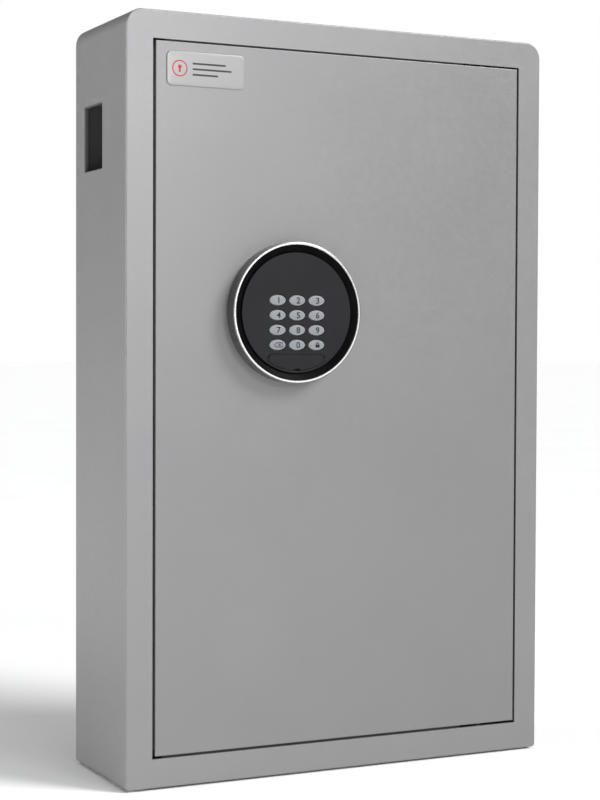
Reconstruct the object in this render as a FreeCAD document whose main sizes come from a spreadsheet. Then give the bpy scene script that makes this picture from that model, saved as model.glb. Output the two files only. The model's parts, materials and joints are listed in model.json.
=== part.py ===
import FreeCAD, Part
import math
import os
import Sketcher
from FreeCAD import Placement, Rotation, Vector

# Shallow wall safe for keys: a sheet steel cabinet with an inset door, a round electronic keypad,
# three motor-driven bolts, a key-deposit slot in the left wall and hook bars inside.
# X runs to the right seen from the front, +Y into the wall, +Z up.
# The origin is the centre of the four wall-fixing holes, on the back's outer face.

DRIVING_SIZES = {
    # the cabinet
    "cabinet_width": 455,
    "cabinet_height": 730,
    "cabinet_depth": 140,
    "sheet_thick": 3,
    "top_corner": 16,
    "bottom_corner": 3.6,
    "front_edge_round": 1.2,
    "fixing_spacing_wide": 300,
    "fixing_spacing_tall": 560,
    "fixing_hole_radius": 6,
    # the door opening, from the cabinet's centre, and the gaps round the door
    "opening_left": 201,
    "opening_right": 202,
    "opening_top": 338.5,
    "opening_bottom": 337.5,
    "gap_left": 2.8,
    "gap_right": 2,
    "gap_top": 1.7,
    "gap_bottom": 2.4,
    "door_thick": 6,
    "door_edge_round": 0.8,
    # the concealed hinges
    "hinge_from_edge": 36,
    "hinge_behind_door": 5,
    "hinge_pin_radius": 3,
    "hinge_running_gap": 0.05,
    "hinge_leaf_thick": 3,
    "hinge_leaf_wide": 28,
    "hinge_leaf_deep": 20,
    "hinge_foot_tall": 18,
    "hinge_above_opening": 1.5,
    "lug_wide": 22,
    "lug_deep": 12,
    "lug_tall": 34,
    "lug_inset": 2.3,
    "pin_engagement": 32,
    # the stops that the door shuts against
    "stop_thick": 2,
    "stop_gap": 0.5,
    "stop_overlap": 12.5,
    "stop_clear_of_opening": 2,
    "stop_strip_right": 140,
    "keeper_leg_from_opening": 11,
    "keeper_leg_back": 100,
    "keeper_half_height": 330,
    "keeper_hole_size": 16,
    # the deposit slot and its chute
    "slot_from_front": 64.5,
    "slot_wide": 50.5,
    "slot_bottom": 221,
    "slot_tall": 64,
    "slot_corner": 1.2,
    "liner_wall": 1,
    "liner_recess": 0.5,
    "chute_sheet": 2,
    "chute_wide": 50.5,
    "chute_margin": 2,
    "chute_tall": 139,
    "baffle_high": 10,
    "baffle_drop": 34,
    "baffle_reach": 28,
    # the rack of hook bars
    "rack_left": 172,
    "rack_right": 221,
    "rack_half_height": 330,
    "upright_wide": 14,
    "upright_deep": 18,
    "upright_sheet": 1.5,
    "bar_rows": 6,
    "bar_pitch": 110,
    "bar_tall": 22,
    "bar_thick": 1.5,
    "hooks_per_bar": 14,
    "hook_margin": 20,
    "hook_radius": 1.25,
    "hook_reach": 22,
    "hook_tip": 6,
    # the name plate
    "plate_wide": 80,
    "plate_tall": 32.3,
    "plate_centre_x": -147.6,
    "plate_centre_z": 311.9,
    "plate_thick": 1.2,
    "plate_corner": 5,
    # the keypad
    "keypad_x": -57.4,
    "keypad_z": 84.2,
    "housing_radius": 68,
    "housing_wall": 2.6,
    "housing_floor": 2,
    "housing_tall": 14.9,
    "bezel_tall": 1.2,
    "bezel_round": 0.5,
    "dish_top": 15.6,
    "dish_low": 11.4,
    "ledge_top": 10.3,
    "ledge_bottom": 8.3,
    "ledge_inner_radius": 56,
    "fascia_seat_radius": 58.25,
    "fascia_radius": 57.95,
    "fascia_top": 13.3,
    "wire_hole_radius": 8,
    # the keys
    "key_pitch_x": 20.8,
    "key_pitch_z": 14.27,
    "key_top_row": 11.8,
    "key_half_wide": 8.7,
    "key_half_tall": 5,
    "key_gap": 0.6,
    "key_top": 14.2,
    "key_bottom": 10.1,
    "key_flange": 1,
    "key_flange_thick": 1,
    "mat_top": 8,
    "mat_thick": 1.5,
    "board_thick": 1.6,
    "board_half_wide": 33,
    "board_high": 22,
    "board_low": 39,
    # the cover below the keys, and what it hides
    "cover_half_wide": 31,
    "cover_high": 40.1,
    "cover_arc_radius": 55.6,
    "cover_corner": 5,
    "cover_thick": 2.2,
    "cover_top": 13.6,
    "cover_gap": 0.35,
    "notch_radius": 7,
    "notch_drop": 5.2,
    "override_x": -14.5,
    "override_z": -47.2,
    "override_radius": 5.75,
    "override_hole_radius": 6.2,
    "override_front": 11,
    "override_length": 33,
    "plug_radius": 4,
    "plug_running_gap": 0.05,
    "cam_reach": 14,
    "cam_thick": 3,
    "keyway_wide": 1.2,
    "keyway_tall": 5.6,
    "keyway_deep": 9,
    "contact_radius": 2,
    "contact_first_x": 10,
    "contact_pitch": 8,
    # the bolt work
    "bolt_radius": 7,
    "bolt_length": 42,
    "bolt_tip": 188,
    "bolt_depth_line": 116,
    "bolt_middle": 83.5,
    "bolt_pitch": 150,
    "bolt_running_gap": 0.05,
    "bar_thick_x": 4,
    "bar_wide_y": 20,
    "bar_beyond_bolt": 12,
    "guide_left": 184,
    "guide_right": 166,
    "guide_half_tall": 14,
    "guide_behind": 7,
    # the rack and its pinion
    "gear_module": 1,
    "pinion_teeth": 16,
    "tooth_slack": 0.25,
    "pinion_x": -105,
    "pinion_z": 100,
    "gear_wide": 8,
    "gear_depth_line": 116,
    "rack_length": 64,
    "rack_first_tooth": 118,
    "rack_teeth": 13,
    "rack_body_tall": 8,
    "shaft_radius": 2,
    "shaft_length": 20,
    # the drive, the circuit board and the cover inside the door
    "mechanism_left": 184,
    "mechanism_right": 6,
    "mechanism_high": 263,
    "mechanism_low": 96,
    "mechanism_thick": 2,
    "gearbox_half_wide": 14,
    "gearbox_below": 12,
    "gearbox_above": 32,
    "gearbox_thick": 13,
    "gearbox_gap": 2,
    "pedestal_from": 14,
    "motor_radius": 8,
    "motor_length": 38,
    "control_left": 72,
    "control_right": 2,
    "control_low": 112,
    "control_tall": 88,
    "pillar_radius": 3,
    "pillar_height": 20,
    "pillar_inset": 5,
    "cover_pillar_inset_x": 12,
    "cover_pillar_inset_z": 7,
    "case_margin": 2,
    "case_sheet": 1.2,
    "case_depth_line": 92,
    "case_bolt_hole": 8,
    # the battery box
    "battery_box_left": 88,
    "battery_box_wide": 68,
    "battery_box_low": 78,
    "battery_box_tall": 66,
    "battery_box_wall": 2,
    "battery_floor_line": 112,
    "battery_window_gap": 0.5,
    "cell_count": 4,
    "cell_radius": 7,
    "cell_length": 50.5,
    "cell_pitch": 15.6,
    "cell_seat_gap": 0.2,
    "lid_thick": 2,
    "lid_gap": 0.3,
}

KEY_NAMES = [
    ["key_1", "key_2", "key_3"],
    ["key_4", "key_5", "key_6"],
    ["key_7", "key_8", "key_9"],
    ["key_clear", "key_0", "key_lock"],
]
PRESSURE_ANGLE = math.radians(20)
TO_FRONT = Rotation(Vector(1, 0, 0), 90)
ALONG = {"x": Rotation(Vector(0, 1, 0), 90), "y": Rotation(Vector(1, 0, 0), -90), "z": Rotation()}


class Size:
    """A length: the expression that binds it to the sheet, and its value."""

    def __init__(self, text, value):
        self.text = text
        self.value = value

    def joined(self, sign, other, value):
        return Size("(%s %s %s)" % (self.text, sign, other.text), value)

    def __add__(self, other):
        other = as_size(other)
        return self.joined("+", other, self.value + other.value)

    def __sub__(self, other):
        other = as_size(other)
        return self.joined("-", other, self.value - other.value)

    def __mul__(self, other):
        other = as_size(other)
        return self.joined("*", other, self.value * other.value)

    def __truediv__(self, other):
        other = as_size(other)
        return self.joined("/", other, self.value / other.value)

    def __neg__(self):
        return Size("(-1 * %s)" % self.text, -self.value)


def as_size(value):
    return value if isinstance(value, Size) else Size("%r" % value, float(value))


doc = FreeCAD.newDocument("WallSafe")
sheet = doc.addObject("Spreadsheet::Sheet", "Sizes")
for row, (alias, number) in enumerate(DRIVING_SIZES.items(), start=1):
    sheet.set("A%d" % row, alias)
    sheet.set("B%d" % row, str(number))
    sheet.setAlias("B%d" % row, alias)
doc.recompute()


class Sizes:
    """The sheet's cells as sizes: S.door_thick is the cell door_thick."""

    def __getattr__(self, alias):
        return Size("Sizes.%s" % alias, float(sheet.get(alias)))


S = Sizes()
ZERO = as_size(0)


# ---- building blocks ----

def bind(thing, **sizes):
    for name, size in sizes.items():
        thing.setExpression(name.replace("__", "."), size.text)


def place(thing, x=ZERO, y=ZERO, z=ZERO, turn=Rotation()):
    thing.Placement = Placement(Vector(x.value, y.value, z.value), turn)
    bind(thing, Placement__Base__x=x, Placement__Base__y=y, Placement__Base__z=z)


def block(name, x, y, z):
    """A box between two limits on each axis."""
    made = doc.addObject("Part::Box", name)
    made.Label = name
    bind(made, Length=x[1] - x[0], Width=y[1] - y[0], Height=z[1] - z[0])
    place(made, x[0], y[0], z[0])
    return made


def rod(name, axis, radius, span, x=ZERO, y=ZERO, z=ZERO):
    """A cylinder along one axis: span gives its two ends on that axis, x, y or z the others."""
    made = doc.addObject("Part::Cylinder", name)
    made.Label = name
    bind(made, Radius=radius, Height=span[1] - span[0])
    start = {"x": x, "y": y, "z": z}
    start[axis] = span[0]
    place(made, start["x"], start["y"], start["z"], ALONG[axis])
    return made


def fused(name, pieces):
    made = doc.addObject("Part::MultiFuse", name)
    made.Label = name
    made.Shapes = pieces
    return made


def cut(name, base, tools):
    made = doc.addObject("Part::Cut", name)
    made.Label = name
    made.Base = base
    made.Tool = tools[0] if len(tools) == 1 else fused(name + "_tools", tools)
    return made


def grouped(name, pieces):
    made = doc.addObject("Part::Compound", name)
    made.Label = name
    made.Links = pieces
    return made


def body(label, x=ZERO, y=ZERO, z=ZERO, turn=Rotation()):
    made = doc.addObject("PartDesign::Body", label)
    made.Label = label
    place(made, x, y, z, turn)
    return made


def sketch(part, role, offset=ZERO):
    """An empty sketch on one of the body's own origin planes, offset along the plane's normal."""
    plane = next(item for item in part.Origin.OriginFeatures if item.Role == role)
    made = part.newObject("Sketcher::SketchObject", part.Label + "_sketch")
    made.AttachmentSupport = [(plane, "")]
    made.MapMode = "FlatFace"
    bind(made, AttachmentOffset__Base__z=offset)
    return made


def held(drawing, geometry, position, point):
    """Hold a point of the geometry at its two distances from the sketch's origin."""
    for kind, size in zip(("DistanceX", "DistanceY"), point):
        index = drawing.addConstraint(Sketcher.Constraint(kind, -1, 1, geometry, position, size.value))
        drawing.setExpression("Constraints[%d]" % index, size.text)


def outline(drawing, points):
    """A closed outline of straight lines, every corner held."""
    first = drawing.GeometryCount
    count = len(points)
    corners = [Vector(x.value, y.value, 0) for x, y in points]
    for index in range(count):
        drawing.addGeometry(Part.LineSegment(corners[index], corners[(index + 1) % count]))
    for index in range(count):
        follower = first + (index + 1) % count
        drawing.addConstraint(Sketcher.Constraint("Coincident", first + index, 2, follower, 1))
        held(drawing, first + index, 1, points[index])


def rectangle(drawing, across, up):
    outline(drawing, [(across[0], up[0]), (across[1], up[0]), (across[1], up[1]), (across[0], up[1])])


def circle(drawing, centre, radius):
    middle = Vector(centre[0].value, centre[1].value, 0)
    index = drawing.addGeometry(Part.Circle(middle, Vector(0, 0, 1), radius.value))
    held(drawing, index, 3, centre)
    limit = drawing.addConstraint(Sketcher.Constraint("Radius", index, radius.value))
    drawing.setExpression("Constraints[%d]" % limit, radius.text)


def pad(part, drawing, length):
    made = part.newObject("PartDesign::Pad", part.Label + "_pad")
    made.Profile = drawing
    bind(made, Length=length)
    doc.recompute()
    return made


def pocket(part, drawing, depth):
    """Cut from the sketch along its normal, and make sure that something was cut."""
    before = part.Shape.Volume
    made = part.newObject("PartDesign::Pocket", part.Label + "_pocket")
    made.Profile = drawing
    made.Reversed = True
    bind(made, Length=depth)
    doc.recompute()
    if not part.Shape.Volume < before:
        raise RuntimeError("the pocket in %s cuts nothing" % part.Label)
    return made


def rounded(part, radius, chosen):
    """Round the edges of the body for which chosen(edge) is true."""
    base = part.Tip
    names = ["Edge%d" % (i + 1) for i, edge in enumerate(base.Shape.Edges) if chosen(edge)]
    if not names:
        raise RuntimeError("no edge to round on %s" % part.Label)
    made = part.newObject("PartDesign::Fillet", part.Label + "_round")
    made.Base = (base, names)
    bind(made, Radius=radius)
    doc.recompute()
    return made


def turned(label, profile, x, y, z):
    """A turned piece: profile points are (radius, height) and the axis points to the front."""
    made = body(label, x, y, z, TO_FRONT)
    drawing = sketch(made, "XZ_Plane")
    outline(drawing, profile)
    turn = made.newObject("PartDesign::Revolution", label + "_turn")
    turn.Profile = drawing
    turn.ReferenceAxis = (drawing, ["V_Axis"])
    turn.Angle = 360
    doc.recompute()
    return made


def section_along_x(label, span, points):
    """A bent strip: its section in Y and Z, run along X."""
    made = body(label, x=span[0])
    drawing = sketch(made, "YZ_Plane")
    outline(drawing, points)
    pad(made, drawing, span[1] - span[0])
    return made


def section_along_z(label, span, points):
    """A bent strip: its section in X and Y, run along Z."""
    made = body(label, z=span[0])
    drawing = sketch(made, "XY_Plane")
    outline(drawing, points)
    pad(made, drawing, span[1] - span[0])
    return made


def runs_along(edge, axis):
    """True for a straight edge parallel to the axis."""
    return edge.Curve.TypeId == "Part::GeomLine" and abs(getattr(edge.Curve.Direction, axis)) > 0.999


def middle(edge):
    return edge.BoundBox.Center


# ---- lines that several pieces share ----

side = S.cabinet_width / 2
top = S.cabinet_height / 2
front = -S.cabinet_depth
frame_back = front + S.sheet_thick
inner_side = side - S.sheet_thick
inner_top = top - S.sheet_thick
back_inside = -S.sheet_thick

door_left = S.gap_left - S.opening_left
door_right = S.opening_right - S.gap_right
door_top = S.opening_top - S.gap_top
door_bottom = S.gap_bottom - S.opening_bottom
door_back = front + S.door_thick

hinge_x = door_right - S.hinge_from_edge
hinge_y = door_back + S.hinge_behind_door

stop_front = door_back + S.stop_gap
stop_back = stop_front + S.stop_thick

bolt_y = -S.bolt_depth_line
bolt_heights = [S.bolt_middle + S.bolt_pitch * step for step in (1, 0, -1)]
bolt_root = S.bolt_length - S.bolt_tip

mechanism_back = door_back + S.mechanism_thick
case_back = -S.case_depth_line
gear_y = -S.gear_depth_line
gear_span = (gear_y - S.gear_wide / 2, gear_y + S.gear_wide / 2)
gearbox_front = gear_span[1] + S.gearbox_gap

override_x = S.keypad_x + S.override_x
override_z = S.keypad_z + S.override_z
override_back = front - S.override_front + S.override_length


# ---- the cabinet ----

def round_cabinet_corners(part, half_wide, thickness):
    """The wide top corners and the tight bottom corners of a plate or wrap of this half width."""
    limit = half_wide.value - 0.01

    def at_side(edge, sign):
        spot = middle(edge)
        return runs_along(edge, "y") and abs(spot.x) > limit and spot.z * sign > 0

    rounded(part, S.top_corner - thickness, lambda edge: at_side(edge, 1))
    rounded(part, S.bottom_corner - thickness, lambda edge: at_side(edge, -1))


def cabinet_shell():
    made = body("cabinet_shell")
    drawing = sketch(made, "XZ_Plane")
    rectangle(drawing, (-side, side), (-top, top))
    pad(made, drawing, S.cabinet_depth - S.sheet_thick)
    hollow = sketch(made, "XZ_Plane", -S.sheet_thick)
    rectangle(hollow, (-inner_side, inner_side), (-inner_top, inner_top))
    pocket(made, hollow, S.cabinet_depth + S.sheet_thick)
    inner_limit = side.value - 0.01

    def at_inner_corner(edge, sign):
        spot = middle(edge)
        beside = inner_side.value - 0.01 < abs(spot.x) < inner_limit
        return runs_along(edge, "y") and beside and spot.z * sign > inner_top.value - 0.01

    rounded(made, S.top_corner - S.sheet_thick, lambda edge: at_inner_corner(edge, 1))
    rounded(made, S.bottom_corner - S.sheet_thick, lambda edge: at_inner_corner(edge, -1))
    round_cabinet_corners(made, side, ZERO)
    slot = sketch(made, "YZ_Plane", -side - S.sheet_thick)
    slot_front = front + S.slot_from_front
    rectangle(slot, (slot_front, slot_front + S.slot_wide), (S.slot_bottom, S.slot_bottom + S.slot_tall))
    pocket(made, slot, S.sheet_thick * 3)
    high = S.slot_bottom.value - 0.01

    def at_slot_corner(edge):
        spot = middle(edge)
        return runs_along(edge, "x") and edge.Length < 2 * S.sheet_thick.value and high < spot.z

    rounded(made, S.slot_corner, at_slot_corner)
    return made


def front_frame():
    made = body("front_frame", y=frame_back)
    drawing = sketch(made, "XZ_Plane")
    rectangle(drawing, (-side, side), (-top, top))
    rectangle(drawing, (-S.opening_left, S.opening_right), (-S.opening_bottom, S.opening_top))
    pad(made, drawing, S.sheet_thick)
    round_cabinet_corners(made, side, ZERO)
    nearest = -S.sheet_thick.value + 0.01
    widest = max(S.opening_left.value, S.opening_right.value) + 1
    tallest = max(S.opening_top.value, S.opening_bottom.value) + 1

    def on_outer_front(edge):
        spot = middle(edge)
        return edge.BoundBox.YMax < nearest and (abs(spot.x) > widest or abs(spot.z) > tallest)

    rounded(made, S.front_edge_round, on_outer_front)
    return made


def back_panel():
    made = body("back_panel")
    drawing = sketch(made, "XZ_Plane")
    rectangle(drawing, (-inner_side, inner_side), (-inner_top, inner_top))
    for across in (-S.fixing_spacing_wide / 2, S.fixing_spacing_wide / 2):
        for up in (-S.fixing_spacing_tall / 2, S.fixing_spacing_tall / 2):
            circle(drawing, (across, up), S.fixing_hole_radius)
    pad(made, drawing, S.sheet_thick)
    round_cabinet_corners(made, inner_side, S.sheet_thick)
    return made


def lock_side_keeper():
    """The stop along the lock side, with a leg whose square holes take the bolts."""
    web_left = -S.opening_left - S.stop_clear_of_opening - S.stop_thick
    leg_right = -S.opening_left + S.keeper_leg_from_opening
    leg_left = leg_right - S.stop_thick
    leg_back = -S.keeper_leg_back
    made = section_along_z("lock_side_keeper", (-S.keeper_half_height, S.keeper_half_height), [
        (web_left, frame_back),
        (web_left + S.stop_thick, frame_back),
        (web_left + S.stop_thick, stop_front),
        (leg_right, stop_front),
        (leg_right, leg_back),
        (leg_left, leg_back),
        (leg_left, stop_back),
        (web_left, stop_back),
    ])
    holes = sketch(made, "YZ_Plane", leg_left - S.stop_thick)
    reach = S.keeper_hole_size / 2
    for height in bolt_heights:
        line = height + S.keeper_half_height
        rectangle(holes, (bolt_y - reach, bolt_y + reach), (line - reach, line + reach))
    pocket(made, holes, S.stop_thick * 3)
    return made


def door_stop(label, edge, sign):
    """The angle strip above (sign 1) or below (sign -1) the opening."""
    foot = edge + (S.stop_clear_of_opening + S.stop_thick) * sign
    foot_inner = edge + S.stop_clear_of_opening * sign
    lip = edge - S.stop_overlap * sign
    span = (S.keeper_leg_from_opening + S.stop_clear_of_opening - S.opening_left, S.stop_strip_right)
    return section_along_x(label, span, [
        (frame_back, foot),
        (stop_back, foot),
        (stop_back, lip),
        (stop_front, lip),
        (stop_front, foot_inner),
        (frame_back, foot_inner),
    ])


def hinge_bracket(label, edge, sign):
    """An angle welded behind the frame; its leaf holds the hinge pin."""
    near = edge + S.hinge_above_opening * sign
    far = near + S.hinge_leaf_thick * sign
    foot = near + S.hinge_foot_tall * sign
    foot_back = frame_back + S.hinge_leaf_thick
    leaf_back = frame_back + S.hinge_leaf_deep
    span = (hinge_x - S.hinge_leaf_wide / 2, hinge_x + S.hinge_leaf_wide / 2)
    made = section_along_x(label, span, [
        (frame_back, near),
        (leaf_back, near),
        (leaf_back, far),
        (foot_back, far),
        (foot_back, foot),
        (frame_back, foot),
    ])
    lower_face = near if sign > 0 else far
    hole = sketch(made, "XY_Plane", lower_face - S.hinge_leaf_thick)
    circle(hole, (S.hinge_leaf_wide / 2, hinge_y), S.hinge_pin_radius)
    pocket(made, hole, S.hinge_leaf_thick * 3)
    return made


def hinge_pin(label, edge, door_edge, sign):
    leaf_far = edge + (S.hinge_above_opening + S.hinge_leaf_thick) * sign
    tip = door_edge - (S.lug_inset + S.pin_engagement) * sign
    span = (tip, leaf_far) if sign > 0 else (leaf_far, tip)
    return rod(label, "z", S.hinge_pin_radius, span, x=hinge_x, y=hinge_y)


def slot_liner(near, far, low, high):
    """The chute's mouth: a collar that lines the slot's cut edge, on a flange inside the duct."""
    slot_front = front + S.slot_from_front
    slot_back = slot_front + S.slot_wide
    slot_top = S.slot_bottom + S.slot_tall
    wall = S.liner_wall
    mouth = S.liner_recess - side
    made = body("slot_liner", x=mouth)
    drawing = sketch(made, "YZ_Plane")
    rectangle(drawing, (slot_front, slot_back), (S.slot_bottom, slot_top))
    pad(made, drawing, S.sheet_thick - S.liner_recess + wall)
    rounded(made, S.slot_corner, lambda edge: runs_along(edge, "x"))
    flange = block("slot_liner_flange", (-inner_side, wall - inner_side), (near, far), (low, high))
    passage = block(
        "slot_liner_passage",
        (mouth - wall, wall * 2 - inner_side),
        (slot_front + wall, slot_back - wall),
        (S.slot_bottom + wall, slot_top - wall),
    )
    return cut("slot_lining", fused("slot_lining_solid", [made, flange]), [passage])


def deposit_chute():
    """A duct behind the slot, open below, with a sloping baffle against fishing."""
    sheet_wide = S.chute_sheet
    low = S.slot_bottom + S.slot_tall + S.chute_margin + sheet_wide - S.chute_tall
    high = low + S.chute_tall
    near = front + S.slot_from_front - S.chute_margin - sheet_wide
    far = front + S.slot_from_front + S.slot_wide + S.chute_margin + sheet_wide
    right = S.chute_wide - inner_side
    outside = block("chute_outside", (-inner_side, right), (near, far), (low, high))
    inside = block(
        "chute_inside",
        (-inner_side - sheet_wide, right - sheet_wide),
        (near + sheet_wide, far - sheet_wide),
        (low - sheet_wide, high - sheet_wide),
    )
    duct = cut("chute_duct", outside, [inside])
    lining = slot_liner(near + sheet_wide, far - sheet_wide, low, high - sheet_wide)
    baffle = body("chute_baffle", y=far - sheet_wide)
    drawing = sketch(baffle, "XZ_Plane")
    root_x = right - sheet_wide
    root_z = S.slot_bottom + S.baffle_high
    tip_x = root_x - S.baffle_reach
    tip_z = root_z - S.baffle_drop
    outline(drawing, [
        (root_x, root_z),
        (root_x, root_z - sheet_wide * 1.5),
        (tip_x + sheet_wide / 2, tip_z - sheet_wide / 2),
        (tip_x, tip_z + sheet_wide / 2),
    ])
    pad(baffle, drawing, far - near - sheet_wide * 2)
    return fused("deposit_chute", [duct, lining, baffle])


def rack_upright(label, left):
    """A channel fixed to the back, open towards the wall."""
    right = left + S.upright_wide
    near = back_inside - S.upright_deep
    wall = S.upright_sheet
    return section_along_z(label, (-S.rack_half_height, S.rack_half_height), [
        (left, back_inside),
        (left, near),
        (right, near),
        (right, back_inside),
        (right - wall, back_inside),
        (right - wall, near + wall),
        (left + wall, near + wall),
        (left + wall, back_inside),
    ])


def hook_bar(label, height):
    """A flat bar across the uprights with a row of upturned hooks."""
    back = back_inside - S.upright_deep
    face = back - S.bar_thick
    strip = block(
        label + "_strip",
        (-S.rack_left, S.rack_right),
        (face, back),
        (height - S.bar_tall / 2, height + S.bar_tall / 2),
    )
    first = S.hook_margin - S.rack_left
    step = (S.rack_right + S.rack_left - S.hook_margin * 2) / (S.hooks_per_bar - 1)
    pieces = [strip]
    for index in range(int(S.hooks_per_bar.value)):
        across = first + step * index
        tip = face - S.hook_reach
        name = "%s_hook_%d" % (label, index + 1)
        pieces.append(rod(name, "y", S.hook_radius, (tip, back), x=across, z=height))
        pieces.append(
            rod(name + "_tip", "z", S.hook_radius, (height, height + S.hook_tip), x=across, y=tip)
        )
    return fused(label, pieces)


# ---- the door ----

def door_panel():
    made = body("door_panel", y=door_back)
    drawing = sketch(made, "XZ_Plane")
    rectangle(drawing, (door_left, door_right), (door_bottom, door_top))
    circle(drawing, (S.keypad_x, S.keypad_z), S.wire_hole_radius)
    circle(drawing, (override_x, override_z), S.override_hole_radius)
    pad(made, drawing, S.door_thick)
    nearest = -S.door_thick.value + 0.01

    def on_front_edge(edge):
        return edge.BoundBox.YMax < nearest and edge.Curve.TypeId == "Part::GeomLine"

    rounded(made, S.door_edge_round, on_front_edge)
    return made


def hinge_lug(label, door_edge, sign):
    near = door_edge - S.lug_inset * sign
    far = near - S.lug_tall * sign
    span = (far, near) if sign > 0 else (near, far)
    solid = block(
        label + "_block",
        (hinge_x - S.lug_wide / 2, hinge_x + S.lug_wide / 2),
        (door_back, door_back + S.lug_deep),
        span,
    )
    reach = (span[0] - S.lug_inset, span[1] + S.lug_inset)
    bore_radius = S.hinge_pin_radius + S.hinge_running_gap
    bore = rod(label + "_bore", "z", bore_radius, reach, x=hinge_x, y=hinge_y)
    return cut(label, solid, [bore])


def name_plate():
    made = body("name_plate", S.plate_centre_x, front, S.plate_centre_z)
    drawing = sketch(made, "XZ_Plane")
    rectangle(
        drawing,
        (-S.plate_wide / 2, S.plate_wide / 2),
        (-S.plate_tall / 2, S.plate_tall / 2),
    )
    pad(made, drawing, S.plate_thick)
    rounded(made, S.plate_corner, lambda edge: runs_along(edge, "y"))
    nearest = -S.plate_thick.value + 0.01
    rounded(made, S.plate_thick / 2, lambda edge: edge.BoundBox.YMax < nearest)
    return made


# ---- the keypad, whose heights are measured forwards from the door's face ----

def keypad_piece(label, profile):
    return turned(label, profile, S.keypad_x, front, S.keypad_z)


def keypad_housing():
    inner = S.housing_radius - S.housing_wall
    made = keypad_piece("keypad_housing", [
        (S.wire_hole_radius, ZERO),
        (S.housing_radius, ZERO),
        (S.housing_radius, S.housing_tall),
        (inner, S.housing_tall),
        (inner, S.housing_floor),
        (S.wire_hole_radius, S.housing_floor),
    ])
    hole = sketch(made, "XY_Plane", -S.housing_floor)
    circle(hole, (S.override_x, S.override_z), S.override_hole_radius)
    pocket(made, hole, S.housing_floor * 3)
    return made


def keypad_bezel():
    inner = S.housing_radius - S.housing_wall
    high = S.housing_tall + S.bezel_tall
    made = keypad_piece("keypad_bezel", [
        (inner, S.housing_tall),
        (S.housing_radius, S.housing_tall),
        (S.housing_radius, high),
        (inner, high),
    ])
    limit = high.value - 0.01
    rounded(made, S.bezel_round, lambda edge: edge.BoundBox.ZMin > limit)
    return made


def keypad_dish():
    """The sloping ring between the bezel and the fascia, with the ledge the fascia sits on."""
    outer = S.housing_radius - S.housing_wall
    return keypad_piece("keypad_dish", [
        (outer, S.ledge_bottom),
        (outer, S.dish_top),
        (S.fascia_seat_radius, S.dish_low),
        (S.fascia_seat_radius, S.ledge_top),
        (S.ledge_inner_radius, S.ledge_top),
        (S.ledge_inner_radius, S.ledge_bottom),
    ])


def key_place(row, column):
    return (
        S.keypad_x + S.key_pitch_x * (column - 1),
        S.keypad_z + S.key_top_row - S.key_pitch_z * row,
    )


def oval(name, place_xz, extra, bottom, height):
    """An oval slab on the keypad: extra widens it all round, bottom is its height off the door."""
    edge = doc.addObject("Part::Ellipse", name + "_edge")
    bind(edge, MajorRadius=S.key_half_wide + extra, MinorRadius=S.key_half_tall + extra)
    place(edge, place_xz[0], front - bottom, place_xz[1], TO_FRONT)
    slab = doc.addObject("Part::Extrusion", name)
    slab.Base = edge
    slab.DirMode = "Custom"
    slab.Dir = Vector(0, -1, 0)
    slab.Solid = True
    bind(slab, LengthFwd=height)
    return slab


def cover_outline(name, extra, bottom, height):
    """The cover's D: straight above, the keypad's arc below, rounded where they meet."""
    disc = rod(
        name + "_disc", "y", S.cover_arc_radius + extra,
        (front - bottom - height, front - bottom), x=S.keypad_x, z=S.keypad_z,
    )
    high = S.keypad_z - S.cover_high + extra
    low = S.keypad_z - S.cover_arc_radius * 2
    reach = S.cover_half_wide + extra
    window = body(name + "_window", y=front - bottom)
    drawing = sketch(window, "XZ_Plane")
    rectangle(drawing, (S.keypad_x - reach, S.keypad_x + reach), (low, high))
    pad(window, drawing, height)
    limit = high.value - 0.01
    rounded(
        window, S.cover_corner + extra,
        lambda edge: runs_along(edge, "y") and middle(edge).z > limit,
    )
    made = doc.addObject("Part::Common", name)
    made.Base = disc
    made.Tool = window
    return made


def keypad_fascia():
    thick = S.fascia_top - S.ledge_top
    disc = rod(
        "fascia_disc", "y", S.fascia_radius,
        (front - S.fascia_top, front - S.ledge_top), x=S.keypad_x, z=S.keypad_z,
    )
    openings = [cover_outline("fascia_cover_opening", S.cover_gap, S.ledge_top - thick, thick * 3)]
    for row, names in enumerate(KEY_NAMES):
        for column, name in enumerate(names):
            spot = key_place(row, column)
            openings.append(oval(name + "_opening", spot, S.key_gap, S.ledge_top - thick, thick * 3))
    return cut("keypad_fascia", disc, openings)


def keypad_key(name, row, column):
    """An oval key with a flange that keeps it behind the fascia."""
    spot = key_place(row, column)
    bottom = S.key_bottom - S.key_flange_thick
    cap = oval(name + "_cap", spot, ZERO, bottom, S.key_top - bottom)
    flange = oval(name + "_flange", spot, S.key_flange, bottom, S.key_flange_thick)
    return fused(name, [cap, flange])


def key_mat():
    return block(
        "key_mat",
        (S.keypad_x - S.board_half_wide, S.keypad_x + S.board_half_wide),
        (front - S.mat_top, front - S.mat_top + S.mat_thick),
        (S.keypad_z - S.board_low, S.keypad_z + S.board_high),
    )


def keypad_circuit_board():
    face = front - S.mat_top + S.mat_thick
    return block(
        "keypad_circuit_board",
        (S.keypad_x - S.board_half_wide, S.keypad_x + S.board_half_wide),
        (face, face + S.board_thick),
        (S.keypad_z - S.board_low, S.keypad_z + S.board_high),
    )


def keypad_cover():
    """The lift-off cover over the override lock, with a fingernail notch at its lower edge."""
    slab = cover_outline("keypad_cover_slab", ZERO, S.cover_top - S.cover_thick, S.cover_thick)
    notch = rod(
        "keypad_cover_notch", "y", S.notch_radius,
        (front - S.cover_top - S.cover_thick, front - S.cover_top + S.cover_thick * 2),
        x=S.keypad_x, z=S.keypad_z - S.cover_arc_radius - S.notch_drop,
    )
    return cut("keypad_cover", slab, [notch])


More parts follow.
